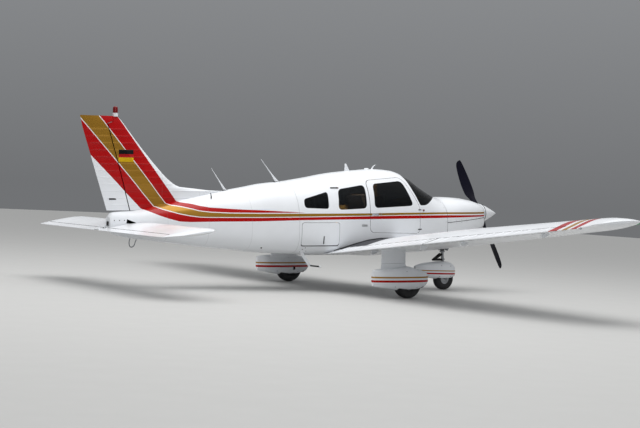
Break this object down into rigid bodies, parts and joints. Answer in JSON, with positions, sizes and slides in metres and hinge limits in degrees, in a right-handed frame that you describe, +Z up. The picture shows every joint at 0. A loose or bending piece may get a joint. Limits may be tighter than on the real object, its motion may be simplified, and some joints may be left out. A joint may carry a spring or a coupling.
{
  "type": "light aircraft",
  "caption": "Low-wing light aircraft on fixed tricycle gear with wheel fairings: cabin and baggage doors, flaps, ailerons, rudder, stabilator, steerable nose wheel and propeller.",
  "frame": {"origin": "middle of the box at ground level, under the cabin on the centre line", "axes": "+X forwards to the nose, +Y to port (the craft's own left), +Z up; the craft stands on its wheels, nose up 2.5 degrees"},
  "size_m": [7.5731, 10.67, 2.4752],
  "materials": {
    "white_skin": "gloss white paint over aluminium sheet",
    "white_fairing": "gloss white paint over moulded fairing",
    "window": "clear acrylic, slightly grey",
    "carpeted_floor": "grey carpet over sheet floor",
    "bare_steel": "bare metal",
    "engine": "dull metal, plain mass",
    "panel": "matt black",
    "seat": "beige cloth",
    "red_lens": "clear red",
    "tyre": "black rubber",
    "wheel_alloy": "cast alloy",
    "blade": "matt black paint",
    "whip": "black sleeve"
  },
  "bodies": {
    "airframe": {"cabin_shell": "white_skin", "cabin_floor": "carpeted_floor", "firewall": "bare_steel", "cowl_upper": "white_skin", "cowl_lower": "white_skin", "engine_block": "engine", "exhaust_pipe": "bare_steel", "tail_cone": "white_skin", "fin": "white_skin", "beacon": "red_lens", "wing_left": "white_skin", "wing_right": "white_skin", "windscreen": "window", "glass_left_front": "window", "glass_left_middle": "window", "glass_left_rear": "window", "glass_right_middle": "window", "glass_right_rear": "window", "instrument_panel": "panel", "seat_front_left": "seat", "seat_front_right": "seat", "seat_rear": "seat", "gear_leg_left": "white_skin", "gear_leg_right": "white_skin", "wheel_fairing_left": "white_fairing", "wheel_fairing_right": "white_fairing", "nose_strut": "bare_steel", "antenna_front": "whip", "antenna_rear": "whip", "antenna_blade": "white_skin", "boarding_step": "bare_steel"},
    "propeller": {"propeller": "blade", "spinner": "white_skin"},
    "wheel_left": {"tyre_left": "tyre", "wheel_hub_left": "wheel_alloy"},
    "wheel_right": {"tyre_right": "tyre", "wheel_hub_right": "wheel_alloy"},
    "nose_leg": {"nose_fork": "bare_steel", "wheel_fairing_nose": "white_fairing"},
    "nose_wheel": {"tyre_nose": "tyre", "wheel_hub_nose": "wheel_alloy"},
    "cabin_door": {"cabin_door": "white_skin", "door_glass": "window"},
    "baggage_door": {"baggage_door": "white_skin"},
    "aileron_left": {"aileron_left": "white_skin"},
    "aileron_right": {"aileron_right": "white_skin"},
    "flap_left": {"flap_left": "white_skin"},
    "flap_right": {"flap_right": "white_skin"},
    "rudder": {"rudder": "white_skin"},
    "stabilator": {"stabilator": "white_skin"},
    "tab": {"stabilator_tab": "white_skin"}
  },
  "joints": [
    {"name": "propeller_spin", "type": "hinge", "parent": "airframe", "child": "propeller", "pos_m": [3.42487, 0, 1.25129], "axis": [0.999, 0, 0.0436], "continuous": true},
    {"name": "wheel_left_spin", "type": "hinge", "parent": "airframe", "child": "wheel_left", "pos_m": [0.745, 1.525, 0.2185], "axis": [0, 1, 0], "continuous": true},
    {"name": "wheel_right_spin", "type": "hinge", "parent": "airframe", "child": "wheel_right", "pos_m": [0.745, -1.525, 0.2185], "axis": [0, 1, 0], "continuous": true},
    {"name": "nose_steer", "type": "hinge", "parent": "airframe", "child": "nose_leg", "pos_m": [2.72, 0, 0.178], "axis": [-0.1059, 0, 0.9944], "range_deg": [-30, 30]},
    {"name": "nose_wheel_spin", "type": "hinge", "parent": "nose_leg", "child": "nose_wheel", "pos_m": [2.72, 0, 0.178], "axis": [0, 1, 0], "continuous": true},
    {"name": "rudder_hinge", "type": "hinge", "parent": "airframe", "child": "rudder", "pos_m": [-2.99834, 0, 1.06994], "axis": [-0.3308, 0, 0.9437], "range_deg": [-27, 27]},
    {"name": "stabilator_hinge", "type": "hinge", "parent": "airframe", "child": "stabilator", "pos_m": [-2.96155, 0, 0.86935], "axis": [0, 1, 0], "range_deg": [0, 16]},
    {"name": "tab_hinge", "type": "hinge", "parent": "stabilator", "child": "tab", "pos_m": [-3.33706, 0, 0.80759], "axis": [0, 1, 0], "range_deg": [0, 13]},
    {"name": "flap_left_hinge", "type": "hinge", "parent": "airframe", "child": "flap_left", "pos_m": [0.30673, 0.612, 0.62348], "axis": [0.0053, -0.9925, -0.1218], "range_deg": [0, 40]},
    {"name": "flap_right_hinge", "type": "hinge", "parent": "airframe", "child": "flap_right", "pos_m": [0.30673, -0.612, 0.62348], "axis": [-0.0053, -0.9925, 0.1218], "range_deg": [0, 40]},
    {"name": "aileron_left_hinge", "type": "hinge", "parent": "airframe", "child": "aileron_left", "pos_m": [0.29641, 2.697, 0.87931], "axis": [0.1134, 0.9849, 0.1307], "range_deg": [-22, 22]},
    {"name": "aileron_right_hinge", "type": "hinge", "parent": "airframe", "child": "aileron_right", "pos_m": [0.29641, -2.697, 0.87931], "axis": [-0.1134, 0.9849, -0.1307], "range_deg": [-22, 22]},
    {"name": "cabin_door_hinge", "type": "hinge", "parent": "airframe", "child": "cabin_door", "pos_m": [1.72851, -0.577, 1.03909], "axis": [-0.0436, 0, 0.999], "range_deg": [0, 70]},
    {"name": "baggage_door_hinge", "type": "hinge", "parent": "airframe", "child": "baggage_door", "pos_m": [0.04966, -0.567, 1.02184], "axis": [-0.9973, 0.0585, -0.0435], "range_deg": [0, 85]}
  ],
  "couplings": [
    {"joint": "nose_steer", "follows": "rudder_hinge", "ratio": -1.11},
    {"joint": "tab_hinge", "follows": "stabilator_hinge", "ratio": 0.8},
    {"joint": "flap_right_hinge", "follows": "flap_left_hinge", "ratio": 1},
    {"joint": "aileron_right_hinge", "follows": "aileron_left_hinge", "ratio": -1}
  ]
}
